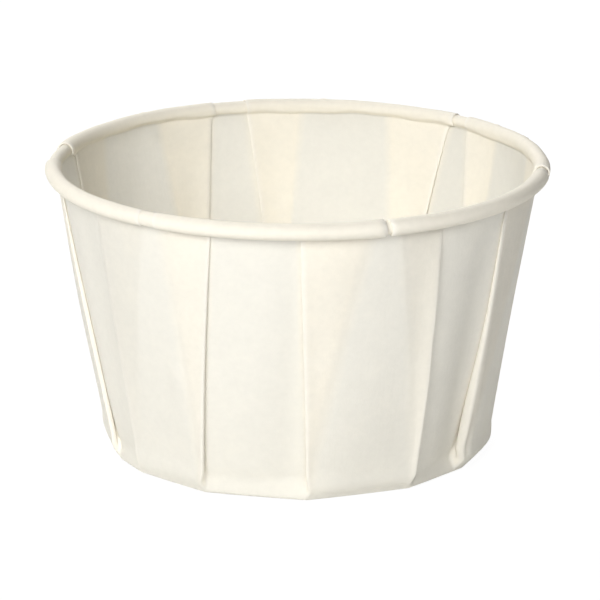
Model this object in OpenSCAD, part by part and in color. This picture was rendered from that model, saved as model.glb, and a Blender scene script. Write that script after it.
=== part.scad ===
// Pleated paper portion cup, folded from one flat sheet of paper.
// Six box pleats open out from the base corner to the rim, and the rim is rolled outward.
// Origin at the centre of the base, Z up, front of the cup toward minus Y, millimetres.

/* [Cup] */
// Width over the rolled rim
rim_d = 73.2; // [50:0.2:110]
// Width across the foot of the wall
base_d = 56; // [36:1:84]
// Height over the rolled rim
cup_h = 42.8; // [25:0.1:80]

/* [Rolled rim] */
// Thickness of the roll
bead_d = 2.5; // [2:0.1:4]
// Angle the paper is rolled through
roll_angle = 320; // [250:10:330]

/* [Paper] */
// Thickness of the paper
paper_t = 0.15; // [0.1:0.01:0.2]
// Air between two layers of a pleat
ply_gap = 0.08; // [0.06:0.01:0.12]

/* [Pleats] */
// Width of every pleat as a share of the drawn one
pleat_share = 1; // [0.5:0.05:1.05]
// Height above the table where a pleat lies fully folded
fold_h = 4; // [2:0.5:8]
// Height above the table where a fold is pressed fully sharp
sharp_h = 16; // [8:1:30]
// How straight the edge of the base is between two corners
base_flat = 0.8; // [0:0.1:1]

/* [Hidden] */

// One row for each pleat: corner at the base, outer fold at the top of the wall, inner fold there,
// inner fold on the roll, and how much rounder its folds are at the base, in layers of paper.
// Angles run from the front of the cup toward its right side.
pleats = [
    [-174.5, -181, -167, -167, 0.4], [-150, -142, -157.5, -158.5, 0.4],
    [-114, -123, -108, -104, 0.4], [-67, -76, -87, -89, 1],
    [-54.5, -54, -38, -37.6, 0.2], [-28, -20, -33, -33.8, 0.6],
    [2.5, 0.5, 17, 18.8, 0.7], [35, 35, 24, 20.3, 0.5],
    [58.5, 57, 76, 78.5, 1.4], [95, 103, 83, 82, 0.4],
    [124, 120.5, 132.5, 132.2, 0.4], [150, 156.5, 138.5, 136.5, 0.4]
];
// Corners of the base outline, the pleats' own and two between them.
corners = [
    -174.5, -150, -132, -114, -90, -67, -54.5, -28,
    2.5, 35, 58.5, 77, 95, 124, 150
];

ply = paper_t + ply_gap;
turn_r = ply / 2;
stack = ply + paper_t / 2;
foot_ply = 2 * paper_t;
rim_r = rim_d / 2;
foot_r = base_d / 2;
wall_top = cup_h - bead_d;
wall_r = rim_r - 0.68 * bead_d;
lean = (wall_r - foot_r) / wall_top;
roll_r = bead_d / 2 - stack;
roll_x = rim_r - bead_d / 2;
roll_z = cup_h - bead_d / 2;

// Stations up the sheet: kind, height or angle, opening of the fold in degrees.
wall_steps = [
    [0.15 * fold_h, 60], [0.45 * fold_h, 120], [fold_h, 180],
    [0.3 * wall_top, 180], [0.52 * wall_top, 180],
    [0.76 * wall_top, 180], [wall_top, 180]
];
roll_steps = 10;
// Angle on the roll where the wall turns into it with a crease on the inside.
start_angle = 222;

function blend(a, b, s) = a + (b - a) * s;
function turned(a) = a - 360 * floor((a + 180) / 360);

// Share of the full pleat width reached at a height.
function spread(z) = pleat_share * min(1, max(0, z / wall_top));

// Straight edged outline between the corners, as a share of the corner radius.
function corner_below(a) =
    let (low = [for (c = corners) if (c <= a) c])
    len(low) > 0 ? max(low) : max(corners) - 360;
function corner_above(a) =
    let (high = [for (c = corners) if (c > a) c])
    len(high) > 0 ? min(high) : min(corners) + 360;
function edge_share(a) =
    let (b = turned(a), lo = corner_below(b), hi = corner_above(b))
    cos((hi - lo) / 2) / cos(b - (hi + lo) / 2);
function outline(a, z) =
    let (s = base_flat * pow(max(0, 1 - z / wall_top), 1.5))
    blend(1, edge_share(a), s);

// Radius of the folds of a pleat at a height.
function fold_r(k, z) =
    let (s = max(0, 1 - z / sharp_h))
    turn_r + pleats[k % 12][4] * ply * s * s * (3 - 2 * s);

// One pleat at a height: points along the layers as offset, level and their normals.
function pleat_path(width, open, way, turn) =
    let (
        ahead = turn * sin(open) + width * cos(open) / 2,
        rise = turn * (1 - cos(open)) + width * sin(open) / 2,
        half = open / 2,
        bend = [turn * sin(half) - ahead, turn * (1 - cos(half)) - rise],
        laid = [turn * sin(open) - ahead, turn * (1 - cos(open)) - rise]
    )
    [
        [-ahead, -way * rise, 0, 1],
        [bend[0], way * bend[1], -way * sin(half), cos(half)],
        [laid[0], way * laid[1], -way * sin(open), cos(open)],
        [0, 0, -way * sin(open), cos(open)],
        [-laid[0], -way * laid[1], -way * sin(open), cos(open)],
        [-bend[0], -way * bend[1], -way * sin(half), cos(half)],
        [ahead, way * rise, 0, 1]
    ];

// Fold angles of one pleat at a height.
function outer_at(k, z) = blend(pleats[k % 12][0], pleats[k % 12][1], spread(z)) + (k > 11 ? 360 : 0);
function inner_at(k, z) =
    let (p = pleats[k % 12], over = min(1, max(0, z - wall_top) / bead_d))
    blend(p[0], blend(p[2], p[3], over), spread(z)) + (k > 11 ? 360 : 0);
function middle_at(k, z) = (outer_at(k, z) + inner_at(k, z)) / 2;

// One pleat as angle, level and normals, for a ring of the given radius.
function pleat_at(k, r, z, open) =
    let (
        deg = 180 / PI / r,
        turn = fold_r(k, z),
        width = max(foot_ply, abs(inner_at(k, z) - outer_at(k, z)) / deg - 2 * turn),
        way = k % 2 == 0 ? 1 : -1
    )
    [for (q = pleat_path(width, open, way, turn)) [middle_at(k, z) + q[0] * deg, q[1], q[2], q[3]]];

// Single layer between two pleats, its bends kept in line with the layers beside it.
function between(k, r, z, open) =
    let (
        p = pleat_at(k, r, z, open)[6],
        q = pleat_at(k + 1, r, z, open)[0],
        gap = q[0] - p[0],
        first = k % 2 == 0 ? inner_at(k, z) : outer_at(k, z),
        last = k % 2 == 0 ? inner_at(k + 1, z) : outer_at(k + 1, z),
        a = max(middle_at(k, z), p[0] + 0.08 * gap),
        b = max(first, p[0] + 0.16 * gap),
        c = min(last, q[0] - 0.16 * gap),
        d = min(middle_at(k + 1, z), q[0] - 0.08 * gap),
        stops = k % 2 == 0 ? [a, b, c, d] : [a, b, blend(b, c, 1 / 3), blend(b, c, 2 / 3), c, d]
    )
    [for (s = stops) [s, blend(p[1], q[1], (s - p[0]) / gap), 0, 1]];

function ring_path(r, z, open) =
    [for (k = [0 : 11]) each concat(pleat_at(k, r, z, open), between(k, r, z, open))];

// Stations as radius and height of the middle level, its normal, fold opening and wall height.
rise_of = function (open) turn_r * (1 - cos(open)) + (open < 180 ? foot_ply * sin(open) / 2 : 0);
lean_n = [cos(atan(lean)), -sin(atan(lean))];
stations = concat(
    [
        [foot_r - 2.5 * paper_t, paper_t / 2, 0, -1, 0, 0],
        [foot_r - 0.9 * paper_t, 1.1 * paper_t, 0.75, -0.66, 0, 0]
    ],
    [for (s = wall_steps) [
        foot_r + lean * s[0] - rise_of(s[1]) - paper_t / 2, s[0],
        lean_n[0], lean_n[1], s[1], s[0]
    ]],
    [for (j = [0 : roll_steps])
        let (t = start_angle - roll_angle * j / roll_steps)
        [
            roll_x + roll_r * cos(t), roll_z + roll_r * sin(t),
            -cos(t), -sin(t), 180, wall_top + bead_d * min(1, j / 4)
        ]
    ]
);
rings = len(stations);

function place(st, q, side) =
    let (
        level = q[1] + side * paper_t / 2 * q[3],
        r = st[0] * outline(q[0], st[5]) + level * st[2],
        a = q[0] + side * paper_t / 2 * q[2] * 180 / PI / st[0]
    )
    [r * sin(a), -r * cos(a), st[1] + level * st[3]];

// True where a ring's step lies in the middle layer of a pleat, which runs back the other way.
function runs_back(k) =
    let (m = k % 24, i = m < 11 ? m : m - 11)
    i == 2 || i == 3;

module cup() {
    paths = [for (st = stations) ring_path(st[0], st[5], st[4])];
    around = len(paths[0]);
    outside = [for (j = [0 : rings - 1]) each [for (q = paths[j]) place(stations[j], q, 1)]];
    inside = [for (j = [rings - 1 : -1 : 0]) each [for (q = paths[j]) place(stations[j], q, -1)]];
    all_rings = 2 * rings;
    below = all_rings * around;
    points = concat(outside, inside, [[0, 0, 0], [0, 0, paper_t]]);
    skin = [
        for (j = [0 : all_rings - 2]) for (k = [0 : around - 1])
        let (
            n = (k + 1) % around,
            a = j * around + k,
            b = (j + 1) * around + k,
            c = (j + 1) * around + n,
            d = j * around + n
        )
        each runs_back(k) != (j >= rings) ? [[a, b, d], [b, c, d]] : [[a, b, c], [a, c, d]]
    ];
    ends = [
        for (k = [0 : around - 1])
        let (n = (k + 1) % around, top = (all_rings - 1) * around)
        each [[below, k, n], [top + k, below + 1, top + n]]
    ];
    color("white")
    polyhedron(points = points, faces = concat(skin, ends), convexity = 12);
}

cup();
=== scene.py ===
# %% [markdown]
# # A pleated paper portion cup
# The real cup is one disc of thin white paper. A press folds its rim into box pleats, flares the
# wall out and rolls the edge over. The CAD model gives its sizes. This lesson makes the same folded
# sheet again with many more points, so that it can bend, spring and wrinkle as paper does.

# %% Load the frame
import math

import bpy
import numpy as np
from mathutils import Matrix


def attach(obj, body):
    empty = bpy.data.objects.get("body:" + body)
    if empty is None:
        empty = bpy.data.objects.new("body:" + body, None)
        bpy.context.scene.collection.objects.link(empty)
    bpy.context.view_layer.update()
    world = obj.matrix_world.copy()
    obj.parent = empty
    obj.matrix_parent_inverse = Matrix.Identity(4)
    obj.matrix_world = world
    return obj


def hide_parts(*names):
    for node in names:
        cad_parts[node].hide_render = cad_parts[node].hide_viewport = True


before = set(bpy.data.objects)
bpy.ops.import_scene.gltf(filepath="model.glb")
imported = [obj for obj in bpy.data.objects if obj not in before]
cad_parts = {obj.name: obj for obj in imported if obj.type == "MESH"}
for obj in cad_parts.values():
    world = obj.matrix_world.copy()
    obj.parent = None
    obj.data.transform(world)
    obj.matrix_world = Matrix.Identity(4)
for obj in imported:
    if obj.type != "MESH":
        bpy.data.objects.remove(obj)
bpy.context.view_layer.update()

# %% [markdown]
# ## The camera
# The camera stands about half a metre from the cup and looks down on it by 17 degrees. Distance and
# lens were fitted together to the rim ellipse and the base, because only the right distance gives
# both ellipses their shape.

# %% Camera
HEIGHT = 42.8
MM = 0.001


def look_from(distance, elevation, target):
    e = math.radians(elevation)
    spot = [target[0], target[1] - distance * math.cos(e), target[2] + distance * math.sin(e)]
    eye = bpy.data.objects.new("Camera", bpy.data.cameras.new("Camera"))
    bpy.context.collection.objects.link(eye)
    eye.location = spot
    eye.rotation_euler = (math.radians(90 - elevation), 0, 0)
    return eye


camera = look_from(0.4994, 17.18, (0, 0, HEIGHT / 2 * MM))
camera.data.sensor_width = 36
camera.data.lens = 204.9
camera.data.shift_x, camera.data.shift_y = 0.0038, -0.0042
camera.data.clip_start, camera.data.clip_end = 0.05, 20
bpy.context.scene.camera = camera
print("camera at", [round(v, 3) for v in camera.location])

# %% [markdown]
# ## The sizes of the folded sheet
# Each pleat is a fold out and a fold back, so three layers lie on each other between the two folds.
# The angles are those of the CAD rows: the corner at the base, the outer fold and the inner fold at
# the rim. The wall, the roll and the paper's colour all read this one table, so they agree.

# %% Sizes and pleats, in millimetres and degrees
RIM, FOOT, ROLL = 36.45, 28.0, 2.5
PAPER = 0.15
WALL_TOP = HEIGHT - ROLL
WALL_RIM = RIM - 0.68 * ROLL
PITCH = 0.12
LEAN = (WALL_RIM - FOOT) / WALL_TOP
# Corner at the base, outer and inner fold at the top of the wall, inner fold on the roll, how much
# rounder the fold is near the base in mm, and how far up in mm that lasts.
PLEATS = np.array([
    [-174.5, -181, -167, -167, 0.08, 6], [-150, -142, -157.5, -158.5, 0.08, 6],
    [-114, -123, -108, -104, 0.08, 6], [-67, -76, -87, -89, 0.14, 12],
    [-54.5, -54, -38, -37.6, 0.04, 6], [-28, -20, -33, -33.8, 0.14, 14],
    [2.5, 0.5, 17, 18.9, 0.22, 60], [35, 35, 24, 20.0, 0.12, 10],
    [58.5, 57, 76, 78.5, 0.34, 26], [95, 103, 83, 82, 0.08, 6],
    [124, 120.5, 132.5, 132.2, 0.08, 6], [150, 156.5, 138.5, 136.5, 0.08, 6],
])
# Degrees that a pleat has slipped sideways near the base, and how far up in mm that fades.
SLIP, SLIP_REACH = {8: -4.0}, 18
CORNERS = np.array([-174.5, -150, -132, -114, -90, -67, -54.5, -28, 2.5, 35, 58.5, 77, 95, 124, 150])
print(len(PLEATS), "pleats, wall leans", round(math.degrees(math.atan(LEAN)), 1), "degrees")

# %% [markdown]
# ## The outline of the base
# The foot of the wall runs nearly straight from one corner to the next, so the base is a polygon.
# Higher up it opens into a circle. One function gives the share of the radius at each angle, and
# the straightness fades with height.


# %% Outline
def outline(angle, height):
    a = (angle + 180) % 360 - 180
    ring = np.concatenate([[CORNERS[-1] - 360], CORNERS, [CORNERS[0] + 360]])
    at = np.searchsorted(ring, a, side="right")
    low, high = ring[at - 1], ring[at]
    straight = np.cos(np.radians(high - low) / 2) / np.cos(np.radians(a - (high + low) / 2))
    share = 0.85 * max(0.0, 1 - height / WALL_TOP) ** 1.3
    return 1 + (straight - 1) * share


middle_share = float(outline(np.array([18.7]), 0)[0])
print("middle of a straight edge lies at", round(middle_share, 3), "of the radius")


# %% [markdown]
# ## One turn round the sheet
# A strip round the cup is followed point by point, through each layer of each pleat. `opening` is
# the angle of the fold, from 0 where the paper is still flat at the base to 180 where it lies folded.
# Mesh lines run along every fold, which keeps the folds crisp.


# %% Points round one height
# Points in the middle layer, steps of a bend, steps over a hidden fold and steps between those.
MIDDLE, BEND, UNDER, SPAN = 10, 5, 12, 16
FLAT_UNTIL, FOLDED_OVER = 0.3, 4.2  # mm above the table: where folding begins, and how long it takes


def smooth_step(x):
    x = min(1.0, max(0.0, x))
    return x * x * (3 - 2 * x)


def fold_angles(k, height):
    """Outer and inner fold of pleat k. A height over the wall's top means a place on the roll."""
    s = min(1.0, max(0.0, height / WALL_TOP))
    slip = SLIP.get(k % 12, 0.0) * math.exp(-(height / SLIP_REACH) ** 2)
    corner, outer, inner, rolled = PLEATS[k % 12][:4] + (360 if k > 11 else 0)
    inner = inner + (rolled - inner) * smooth_step(height - WALL_TOP + 0.3)
    inner = inner + 0.5 * max(0.0, height - WALL_TOP - 1)  # the layers end aslant across the roll
    return corner + (outer - corner) * s + slip, corner + (inner - corner) * s + slip


def bend_radius(k, height):
    rounder, lasts = PLEATS[k % 12][4:]
    return PITCH / 2 + rounder * smooth_step(1 - height / lasts)


def pleat_points(k, radius, height):
    """Angle, level and layer of each point from one side of a pleat to the other."""
    outer, inner = fold_angles(k, height)
    opening = 180 * smooth_step((height - FLAT_UNTIL) / FOLDED_OVER) ** 0.8
    deg = math.degrees(1 / radius)
    bend_r = bend_radius(k, height)
    width = max(2 * PAPER, abs(inner - outer) / deg - 2 * bend_r)
    way = 1 if k % 2 == 0 else -1
    # the paper in a bend keeps its length, so a half open bend has a larger radius
    turn = math.radians(max(opening, 1.0))
    curve = bend_r * math.pi / turn
    ahead = curve * math.sin(turn) + width * math.cos(turn) / 2
    rise = curve * (1 - math.cos(turn)) + width * math.sin(turn) / 2
    t = np.linspace(0, turn, BEND + 1)
    bend = np.stack([curve * np.sin(t) - ahead, curve * (1 - np.cos(t)) - rise], 1)
    u = np.linspace(0, 1, MIDDLE + 2)[1:-1, None]
    flat = bend[-1] + (-2 * bend[-1]) * u
    xy = np.concatenate([bend, flat, -bend[::-1]])
    low_bend, high_bend = np.linspace(0, 0.5, BEND + 1), np.linspace(0.5, 1, BEND + 1)
    layer = np.concatenate([low_bend, np.full(MIDDLE, 0.5), high_bend])
    if way < 0:
        layer = 1 - layer
    middle = (outer + inner) / 2
    return np.stack([middle + xy[:, 0] * deg, way * xy[:, 1], layer], 1)


def span_points(k, start, end, height):
    """The single layer between two pleats, with lines kept over the folds that lie behind it."""
    (o1, i1), (o2, i2) = fold_angles(k, height), fold_angles(k + 1, height)
    first, last = (i1, i2) if k % 2 == 0 else (o1, o2)
    gap = end[0] - start[0]
    b = max(first, start[0] + 0.2 * gap)
    c = min(last, end[0] - 0.2 * gap)
    stops = np.concatenate([
        np.linspace(start[0], b, UNDER + 1)[1:],
        np.linspace(b, c, SPAN + 1)[1:],
        np.linspace(c, end[0], UNDER + 1)[1:-1],
    ])
    level = start[1] + (end[1] - start[1]) * (stops - start[0]) / gap
    return np.stack([stops, level, np.full(len(stops), start[2])], 1)


def turn_round(radius, height):
    """One whole turn. The 13th pleat is the first one again, a full turn on."""
    pleats = [pleat_points(k, radius, height) for k in range(13)]
    strip = []
    for k in range(12):
        strip += [pleats[k], span_points(k, pleats[k][-1], pleats[k + 1][0], height)]
    return np.concatenate(strip)


print(len(turn_round(34, 30)), "points in one turn")

# %% [markdown]
# ## How the paper springs
# Pressed paper never lies dead flat. The outer edge of a pleat stands a little proud, the wall swells
# between the folds, and some dents lie where the photograph shows them. All of it is a smooth
# function of the place on the wall. A swell moves all layers at a place alike, so it can't push them
# through each other.


# %% Springs and swells, as functions of angle and height
# For each pleat: how far its outer fold stands off, how far that fold's own two layers part, how far
# its inner fold stands off, and how high up it is widest, as a share of the wall.
SPRING = [
    (0.10, 0.10, 0.20, 0.50), (0.10, 0.06, 0.22, 0.50), (0.10, 0.10, 0.15, 0.50),
    (0.00, 0.50, 0.10, 0.38), (0.05, 0.06, 0.10, 0.50), (0.20, 0.26, 0.10, 0.30),
    (0.25, 0.06, 0.10, 0.40), (0.55, 0.16, 0.10, 0.38), (0.06, 0.45, 0.12, 0.36),
    (0.10, 0.10, 0.10, 0.50), (0.10, 0.10, 0.10, 0.50), (0.10, 0.10, 0.28, 0.45),
]
LIP = 1.6  # mm from a fold over which its flap springs
POCKET = 0.05  # mm that stay between the middle layer and its neighbour at a fold
# Soft dents and swellings: angle, height, reach in mm round and up, depth (outward is more than 0).
DENTS = [
    (-0.5, 8, 4.2, 15, -0.75), (0.5, 22, 3.0, 15, -0.42), (39.5, 12, 4.2, 22, 0.45),
    (52.5, 18, 3.0, 20, -0.75), (-61.0, 22, 3.0, 22, -0.35), (-32.0, 12, 2.2, 8, 0.28),
    (-45.0, 28, 6.0, 10, 0.20), (18.0, 12, 8.0, 12, 0.25), (-139.5, 39.2, 1.0, 0.8, -0.50),
    (-133.0, 34, 6.0, 7, 0.30), (168.0, 36, 6.0, 5, 0.25), (146.0, 35, 4.0, 6, -0.20),
    (110.0, 36, 3.5, 5, 0.30), (4.0, 23, 2.5, 2.0, -0.10), (-33.0, 17, 1.2, 1.8, 0.16),
    (-31.0, 20, 1.0, 1.5, -0.12), (7.0, 21, 1.6, 1.2, 0.10), (34.0, 23, 1.5, 2.5, -0.16),
]


def bump_at(x, reach):
    return np.exp(-(x / reach) ** 2)


def apart(angle, centre):
    """Degrees from centre to angle, the short way round."""
    return (angle - centre + 180) % 360 - 180


def swell(angle, h, radius):
    """How far the paper stands out from the plain cone, in mm."""
    a = np.radians(angle)
    wall = math.sin(math.pi * min(1.0, h / WALL_TOP)) ** 0.8
    wave = 0.16 * np.sin(3 * a + 0.7) + 0.12 * np.sin(5 * a + 2.1 + 0.05 * h)
    wave = wave + 0.08 * np.sin(9 * a - 1.3 - 0.08 * h) + 0.04 * np.sin(17 * a + 0.4 + 0.11 * h)
    moved = wall * (wave + 0.2)
    for centre, height, reach, tall, depth in DENTS:
        if abs(h - height) < 3 * tall:
            fade = min(1.0, h / 3) * (1.0 if h < WALL_TOP - 2 else max(0.0, (WALL_TOP - h) / 2))
            near = bump_at(apart(angle, centre) * math.radians(1) * radius, reach)
            moved = moved + depth * fade * near * math.exp(-((h - height) / tall) ** 2)
    return moved


def spring(k, h):
    """How far the outer fold of pleat k stands off, parts, and how far the inner one stands off."""
    outer, parts, inner, widest = SPRING[k]
    up = min(1.0, max(0.0, h / WALL_TOP))
    # 0 at both ends and 1 at the widest height
    power = math.log(0.5) / math.log(widest)
    hold = math.sin(math.pi * up ** power) ** 0.9 if 0 < up < 1 else 0.0
    return outer * hold, parts * hold, inner * hold


def sprung(points, radius, h):
    """The level of each point once the swells and the springing of every fold are added."""
    level = points[:, 1] + swell(points[:, 0], h, radius)
    layer = points[:, 2]
    arc = math.radians(1) * radius
    for k in range(12):
        outer, inner = fold_angles(k, h)
        lift_out, parts, lift_in = spring(k, h)
        reach = min(LIP, 0.6 * max(1.0, abs(inner - outer) * arc))
        # shares that fade from the outermost layer (1) to the innermost (0), or the other way
        upper = np.clip(layer * 1.7, 0, 1)
        top = np.clip(layer * 2 - 1, 0, 1)
        lower = np.clip((1 - layer) * 1.7, 0, 1)
        # the middle layer keeps close to the one that it lies against, so the pocket stays thin
        middle = (1 - np.abs(2 * layer - 1)) * (2 * bend_radius(k, h) - POCKET)
        # a folded flap stands off like a wedge, highest at its free edge
        near_outer = bump_at(apart(points[:, 0], outer) * arc, reach)
        near_inner = bump_at(apart(points[:, 0], inner) * arc, reach)
        level = level + near_outer * (lift_out * upper + parts * top - middle)
        level = level - near_inner * (lift_in * lower - middle)
    return level


print("widest spring", max(s[0] for s in SPRING), "mm;", len(DENTS), "dents")

# %% [markdown]
# ## From the base to the end of the roll
# The sheet is followed from the middle of the base, round the foot, up the wall and over the roll.
# Each station has a radius, a height and the way its outer side faces. The roll is an arc that
# leaves the wall at a small crease.


# %% Stations up the sheet
def stations():
    """Radius, height, the outward direction, the height that the folds take their angles from, and
    how near the crease under the roll lies."""
    made = []
    for share in (0.02, 0.25, 0.5, 0.75, 0.9, 0.96):
        made.append((FOOT * share, PAPER / 2, 0.0, -1.0, 0.0, 0.0))
    foot_round = 0.7  # mm, the bend from the base to the wall
    for t in np.linspace(0, 80, 5):
        t = math.radians(t)
        made.append((
            FOOT - foot_round + (foot_round - PAPER / 2) * math.sin(t),
            foot_round - (foot_round - PAPER / 2) * math.cos(t),
            math.sin(t), -math.cos(t), 0.0, 0.0,
        ))
    lean = math.atan(LEAN)
    under_roll = [39.2, 39.8, 40.1, 40.3, 40.45]
    heights = np.concatenate([np.linspace(1.0, 6, 11), np.linspace(6.8, 38.6, 46), under_roll])
    for z in heights:
        sunk = PITCH * smooth_step(z / 4) + PAPER / 2
        crease = math.exp(-((z - WALL_TOP) / 0.6) ** 2)
        radius = FOOT + LEAN * z - sunk
        made.append((radius, z, math.cos(lean), -math.sin(lean), min(z, WALL_TOP), crease))
    lowered = 0.08  # mm, so that the waver of the rim stays under the cup's height
    centre = (RIM - ROLL / 2, HEIGHT - ROLL / 2 - lowered)
    roll_r = ROLL / 2 - PITCH - PAPER / 2
    turns = np.concatenate([[226, 223, 219, 214], np.linspace(208, -105, 30)])
    for n, t in enumerate(turns):
        crease = smooth_step((t - 185) / 25)
        t = math.radians(t)
        made.append((
            centre[0] + roll_r * math.cos(t), centre[1] + roll_r * math.sin(t),
            -math.cos(t), -math.sin(t),
            WALL_TOP + min(1.0, 0.12 * (n + 1)) + 2 * n / len(turns), crease,
        ))
    return made


STATIONS = stations()
print(len(STATIONS), "stations from the middle of the base to the end of the roll")


# %% [markdown]
# ## The folded sheet as one mesh
# Every station becomes a ring of points, and quads join each ring to the next. Three values are kept
# on each point for the paper's finish: how many layers lie there, how near the next fold is, for a
# painted highlight along the folds, and where on the flat sheet the point was.


# %% Marks for the paper's finish
# How strongly each pleat's three layers show in the colour of the paper.
SHOWS = [1, 1, 0.8, 1, 0.3, 0.8, 1, 0.7, 0.8, 0.9, 1, 1]
SOFT_OUTSIDE, SOFT_INSIDE = 2.4, 0.5  # mm over which the tone fades at the inner fold
CRISP = 0.5  # mm over which it changes at the outer fold
FOLD_HIGHLIGHT_HALF_WIDTH = 0.45  # mm, about half the width of the painted highlight along a fold


def layers_at(points, h, radius):
    """1 where a pleat puts three layers on each other, 0 where the sheet is single.
    The mask ends crisply at the fold itself and softly where it shows through the paper."""
    angle, layer = points[:, 0], points[:, 2]
    here = np.zeros(len(angle))
    arc = math.radians(1) * radius
    for k in range(12):
        outer, inner = fold_angles(k, h)
        way = 1 if inner > outer else -1
        past_outer = apart(angle, outer) * way * arc
        past_inner = apart(inner, angle) * way * arc
        # a fold's own two layers are within the mask, and the layer beside them is just outside
        from_outer = np.clip(past_outer / CRISP + np.where(layer > 0.4, 1.0, 0.5), 0, 1)
        soft = np.where(layer > 0.6, SOFT_OUTSIDE, SOFT_INSIDE)
        from_inner = np.clip(past_inner / soft + np.where(layer < 0.6, 1.0, 0.5), 0, 1)
        inside = (past_outer > -CRISP) & (past_inner > -soft)
        shows = np.where(inside, np.minimum(from_outer, from_inner), 0) * SHOWS[k]
        here = np.maximum(here, shows)
    return here


def fold_highlight_share(points, h, radius):
    """1 along each real fold, where a light line is painted as a highlight, and 0 away from it."""
    angle, layer = points[:, 0], points[:, 2]
    arc = math.radians(1) * radius
    edge = np.zeros(len(angle))
    for k in range(12):
        outer, inner = fold_angles(k, h)
        edge = np.maximum(edge, bump_at(apart(angle, outer) * arc, FOLD_HIGHLIGHT_HALF_WIDTH) * (layer > 0.3))
        edge = np.maximum(edge, bump_at(apart(angle, inner) * arc, FOLD_HIGHLIGHT_HALF_WIDTH) * (layer < 0.7))
    return edge


# %% [markdown]
# ## The roll's own marks
# The press squeezes the layers where they run through the roll, but not everywhere alike. It also
# leaves small wrinkles and lets the edge waver. Each of these is one small function or table.


# %% Squeeze, wrinkles and waver
def roll_share(angle):
    """How proud the layers stand from each other on the roll, where the press has squeezed them."""
    share = np.full(len(angle), 0.62)
    squeezed = [(-36, 8, 0.3), (20, 6, 1.1), (-97, 14, 1.6), (80, 12, 1.6), (135, 8, 0.9)]
    for centre, reach, value in squeezed:
        near = bump_at(apart(angle, centre), reach)
        share = share * (1 - near) + value * near
    return share


# Small wrinkles across the roll: angle, half width in degrees, height in mm.
WRINKLES = [
    (121.0, 0.5, 0.10), (109.0, 0.6, 0.12), (126.5, 0.4, -0.06), (-48.0, 0.5, 0.05),
    (-24.0, 0.4, -0.04), (66.0, 0.5, 0.06), (-140.0, 0.6, 0.08), (-171.0, 0.5, 0.06),
    (172.0, 0.6, 0.10), (140.0, 0.4, 0.05),
]


def rim_waver(angle, z, near):
    """Small uneven waves of the roll and of the crease under it, outward and up."""
    a = np.radians(angle)
    crease = 0.06 * np.sin(5 * a + 1) + 0.04 * np.sin(13 * a + 2.2) + 0.03 * np.sin(31 * a)
    top = smooth_step((z - WALL_TOP + 2) / 4)
    drift = 0.05 * np.sin(4 * a + 0.5) + 0.03 * np.sin(13 * a + 1.9) + 0.02 * np.sin(29 * a)
    return crease * near * 0.8 + drift * top, crease * near * 1.6 + drift * top * 0.4


print(len(WRINKLES), "wrinkles on the roll")

# %% [markdown]
# ## Rings, quads and attributes
# The rings are stacked, joined and closed by a fan of triangles in the middle of the base. The marks
# become attributes of the mesh, which the material reads later.


# %% Build the sheet
def ring_of(station):
    """The points of one station in metres, with their layer mask, painted fold highlight and turn."""
    radius, z, out_r, out_z, h, crease = station
    points = turn_round(max(radius, 5.0), h)
    level = sprung(points, radius, h) if h > 0 else points[:, 1]
    squeeze = smooth_step((z - WALL_TOP + 3) / 4)
    level = level * (1 - squeeze + squeeze * roll_share(points[:, 0]))
    for centre, reach, tall in WRINKLES:
        aslant = centre + 2.0 * (z - HEIGHT + 1)
        level = level - tall * squeeze * bump_at(apart(points[:, 0], aslant), reach)
    shape = outline(points[:, 0], h if z > 1 else 0)
    out, up = rim_waver(points[:, 0], z, crease)
    r = radius * shape + level * out_r + out
    a = np.radians(points[:, 0])
    ring = np.stack([r * np.sin(a), -r * np.cos(a), z + level * out_z + up], 1) * MM
    on_roll = smooth_step((h - WALL_TOP) * 2)
    mask = layers_at(points, h, radius) if h > 1.2 else np.zeros(len(points))
    # a painted highlight along each fold, fading out towards the foot
    fold_highlights = fold_highlight_share(points, h, radius) * smooth_step(h / 3)
    return ring, mask + (1 - mask) * on_roll, fold_highlights, points


def folded_sheet():
    rings, layered, fold_highlights, place = [], [], [], []
    length = 0.0
    before = STATIONS[0]
    for station in STATIONS:
        ring, mask, edge, points = ring_of(station)
        rings.append(ring)
        layered.append(mask)
        fold_highlights.append(edge)
        length += math.hypot(station[0] - before[0], station[1] - before[1])
        before = station
        spread = points[:, 0] * smooth_step(station[4] / 4)  # the ribs begin at the foot
        place.append(np.stack([spread, np.full(len(points), length), points[:, 2]], 1))
    count = len(rings[0])
    verts = np.concatenate(rings)
    j, k = np.meshgrid(np.arange(len(rings) - 1), np.arange(count), indexing="ij")
    n = (k + 1) % count
    corners = [j * count + k, j * count + n, (j + 1) * count + n, (j + 1) * count + k]
    quads = np.stack(corners, -1).reshape(-1, 4)
    middle = len(verts)
    verts = np.concatenate([verts, [[0, 0, PAPER / 2 * MM]]])
    fan = [(middle, int(b), int(a)) for a, b in zip(range(count), np.roll(np.arange(count), -1))]
    mesh = bpy.data.meshes.new("folded_sheet")
    mesh.from_pydata(verts.tolist(), [], quads.tolist() + fan)
    mesh.update()
    sheet = bpy.data.objects.new("paper_cup", mesh)
    bpy.context.collection.objects.link(sheet)
    mesh.polygons.foreach_set("use_smooth", [True] * len(mesh.polygons))
    # the second attribute carries the painted highlight along the folds
    for name, rows in (("layered", layered), ("painted_fold_highlight", fold_highlights)):
        flags = np.concatenate([np.concatenate(rows), [0]])
        mark = mesh.attributes.new(name, "FLOAT", "POINT")
        mark.data.foreach_set("value", flags.astype(np.float32))
    where = np.concatenate([np.concatenate(place), [[0, 0, 0]]])
    flat = mesh.attributes.new("sheet_place", "FLOAT_VECTOR", "POINT")
    flat.data.foreach_set("vector", where.astype(np.float32).ravel())
    triangles = sum(len(p.vertices) - 2 for p in mesh.polygons)
    print("sheet:", len(verts), "points,", triangles, "triangles")
    return sheet


cup = folded_sheet()
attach(cup, "root")
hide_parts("cup")


# %% [markdown]
# ## Writing materials as sums
# A material's nodes are easier to read as arithmetic. This class wraps one socket, so that
# `1 - mask` or `grain * 0.5` adds the Math node that does it. Every other node comes from `node`.


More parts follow.
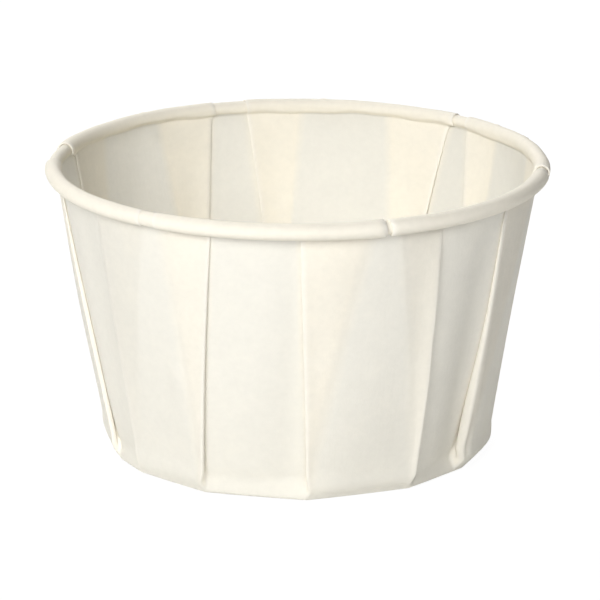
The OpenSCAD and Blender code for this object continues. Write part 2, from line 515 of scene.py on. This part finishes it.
# %% A socket that can be added and multiplied
class Wire:
    def __init__(self, tree, socket=None):
        self.tree, self.socket = tree, socket

    def node(self, kind, settings=None, sockets=None, out=0):
        made = self.tree.nodes.new(kind)
        for name, value in (settings or {}).items():
            setattr(made, name, value)
        for name, value in (sockets or {}).items():
            if isinstance(value, Wire):
                self.tree.links.new(value.socket, made.inputs[name])
            else:
                made.inputs[name].default_value = value
        return Wire(self.tree, made.outputs[out] if len(made.outputs) else None)

    def maths(self, operation, a, b):
        return self.node("ShaderNodeMath", {"operation": operation}, {0: a, 1: b})

    def noise(self, place, scale, detail, roughness):
        sockets = {"Vector": place, "Scale": scale, "Detail": detail, "Roughness": roughness}
        return self.node("ShaderNodeTexNoise", {"noise_dimensions": "3D"}, sockets)

    def mix_colour(self, factor, a, b):
        settings = {"data_type": "RGBA", "clamp_factor": True}
        return self.node("ShaderNodeMix", settings, {"Factor": factor, 6: a, 7: b}, out=2)

    def __add__(self, other):
        return self.maths("ADD", self, other)

    def __radd__(self, other):
        return self.maths("ADD", other, self)

    def __sub__(self, other):
        return self.maths("SUBTRACT", self, other)

    def __rsub__(self, other):
        return self.maths("SUBTRACT", other, self)

    def __mul__(self, other):
        return self.maths("MULTIPLY", self, other)

    def __rmul__(self, other):
        return self.maths("MULTIPLY", other, self)


def new_material(name):
    made = bpy.data.materials.new(name)
    made.use_nodes = True
    made.node_tree.nodes.clear()
    return made, Wire(made.node_tree)


print("materials are written with Wire")

# %% [markdown]
# ## The paper
# Thin uncoated paper scatters light and lets some through. Where three layers lie on each other it
# looks creamier, and where it is single it looks cooler and greyer. The layer mask drives both the
# colour and the share of light that passes. A painted highlight lightens the paper along every fold.


# %% Paper material
def paper_material():
    made, w = new_material("portion_cup_paper")
    layered = w.node("ShaderNodeAttribute", {"attribute_name": "layered"}, out=2)
    # where a light line along each fold is painted as a highlight
    edge = w.node("ShaderNodeAttribute", {"attribute_name": "painted_fold_highlight"}, out=2)
    place = w.node("ShaderNodeAttribute", {"attribute_name": "sheet_place"}, out=1)
    spot = w.node("ShaderNodeTexCoord", out=3)  # the object's own coordinates, in metres
    cloud = w.noise(spot, 240.0, 4.0, 0.6)
    fibre = w.noise(spot, 2600.0, 3.0, 0.65)
    # faint ribs run up the wall: the place on the flat sheet is in degrees round and mm up
    narrow = (0.42, 0.03, 0.0)
    across = w.node("ShaderNodeVectorMath", {"operation": "MULTIPLY"}, {0: place, 1: narrow})
    ribs = w.noise(across, 1.0, 2.0, 0.5)
    mottle = w.noise(spot, 1100.0, 3.0, 0.6)
    tone = layered * 0.92 + (cloud - 0.5) * 0.5 + (fibre - 0.5) * 0.12
    body_colour = w.mix_colour(tone, (0.872, 0.848, 0.768, 1), (0.942, 0.89, 0.77, 1))
    # painted highlight: a lighter cream mixed in along every fold
    with_fold_highlight = w.mix_colour(edge * 0.55, body_colour, (0.955, 0.925, 0.85, 1))
    shade = 0.93 + cloud * 0.06 + mottle * 0.08
    settings = {"data_type": "RGBA", "blend_type": "MULTIPLY"}
    colour = w.node("ShaderNodeMix", settings, {"Factor": 1.0, 6: with_fold_highlight, 7: shade}, out=2)
    height = cloud * 0.9 + mottle * 0.3 + fibre * 0.16 + ribs * 0.35
    bump = w.node("ShaderNodeBump", {}, {"Height": height, "Strength": 0.35, "Distance": 0.0002})
    rough = 0.86 - fibre * 0.12
    sockets = {"Base Color": colour, "Roughness": rough, "Specular IOR Level": 0.25, "Normal": bump}
    body = w.node("ShaderNodeBsdfPrincipled", {}, sockets)
    through = w.node("ShaderNodeBsdfTranslucent", {}, {"Color": (0.95, 0.925, 0.86, 1), "Normal": bump})
    passes = 0.15 - layered * 0.12 + (cloud - 0.5) * 0.06
    both = w.node("ShaderNodeMixShader", {}, {0: passes, 1: body, 2: through})
    w.node("ShaderNodeOutputMaterial", {}, {"Surface": both})
    return made


paper = paper_material()
cup.data.materials.append(paper)
print("paper has", len(paper.node_tree.nodes), "nodes")

# %% [markdown]
# ## Floor and light
# The photograph has a white ground and soft light. The floor takes the cup's shadow, and to the
# camera it looks brightened to white. The strongest lamp stands at the front left, and the lamps
# behind the cup light its inside.


# %% Floor
def floor_material():
    made, w = new_material("studio_floor")
    plain = w.node("ShaderNodeBsdfDiffuse", {}, {"Color": (0.9, 0.9, 0.9, 1)})
    glow = w.node("ShaderNodeEmission", {}, {"Color": (1, 1, 1, 1), "Strength": 1.06})
    seen = w.node("ShaderNodeLightPath", out=0)  # Is Camera Ray
    glossy = w.node("ShaderNodeLightPath", out=3)  # Is Glossy Ray
    passing = w.node("ShaderNodeLightPath", out=6)  # Is Transmission Ray
    share = w.node("ShaderNodeMath", {"operation": "MAXIMUM"}, {0: seen, 1: glossy})
    share = w.node("ShaderNodeMath", {"operation": "MAXIMUM"}, {0: share, 1: passing})
    both = w.node("ShaderNodeMixShader", {}, {0: share * 0.9, 1: plain, 2: glow})
    w.node("ShaderNodeOutputMaterial", {}, {"Surface": both})
    return made


bpy.ops.mesh.primitive_plane_add(size=4, location=(0, 0, -0.0001))
floor = bpy.context.object
floor.name = "floor"
floor.data.materials.append(floor_material())

world = bpy.data.worlds.new("studio")
bpy.context.scene.world = world
world.use_nodes = True
world.node_tree.nodes.clear()
sky = Wire(world.node_tree)
dim = sky.node("ShaderNodeBackground", {}, {"Color": (0.97, 0.98, 1.0, 1), "Strength": 0.03})
white = sky.node("ShaderNodeBackground", {}, {"Color": (1, 1, 1, 1), "Strength": 1.0})
direct = sky.node("ShaderNodeLightPath", out=0)  # Is Camera Ray
mixed = sky.node("ShaderNodeMixShader", {}, {0: direct, 1: dim, 2: white})
sky.node("ShaderNodeOutputWorld", {}, {"Surface": mixed})
print("floor", [round(v, 2) for v in floor.dimensions], "m")


# %% Lamps
LAMP_DISTANCE, LAMP_SIZE, LAMP_RAISED = 1.2, 0.7, 0.02  # metres


def soft_lamp(name, azimuth, elevation, power):
    """A round lamp that faces the cup from an azimuth, where 0 is the front and -90 the left."""
    lamp = bpy.data.lights.new(name, "AREA")
    lamp.shape, lamp.size, lamp.energy = "DISK", LAMP_SIZE, power
    holder = bpy.data.objects.new(name, lamp)
    bpy.context.collection.objects.link(holder)
    a, e = math.radians(azimuth), math.radians(elevation)
    back = (math.sin(a) * math.cos(e), -math.cos(a) * math.cos(e), math.sin(e))
    holder.location = [b * LAMP_DISTANCE for b in back]
    holder.location.z += LAMP_RAISED
    holder.rotation_euler = (math.radians(90 - elevation), 0, a)
    return holder


# Name, azimuth and elevation in degrees, power in watts.
LAMPS = [
    ("key", -27, 31, 9.0), ("side", -60, 30, 0.9), ("front", 10, 35, 4.2),
    ("left_back", -130, 35, 3.8), ("back", 178, 35, 6.9),
]
for name, azimuth, elevation, power in LAMPS:
    soft_lamp(name, azimuth, elevation, power)
print("lamps:", [row[0] for row in LAMPS])

scene = bpy.context.scene
scene.view_settings.view_transform = "Standard"
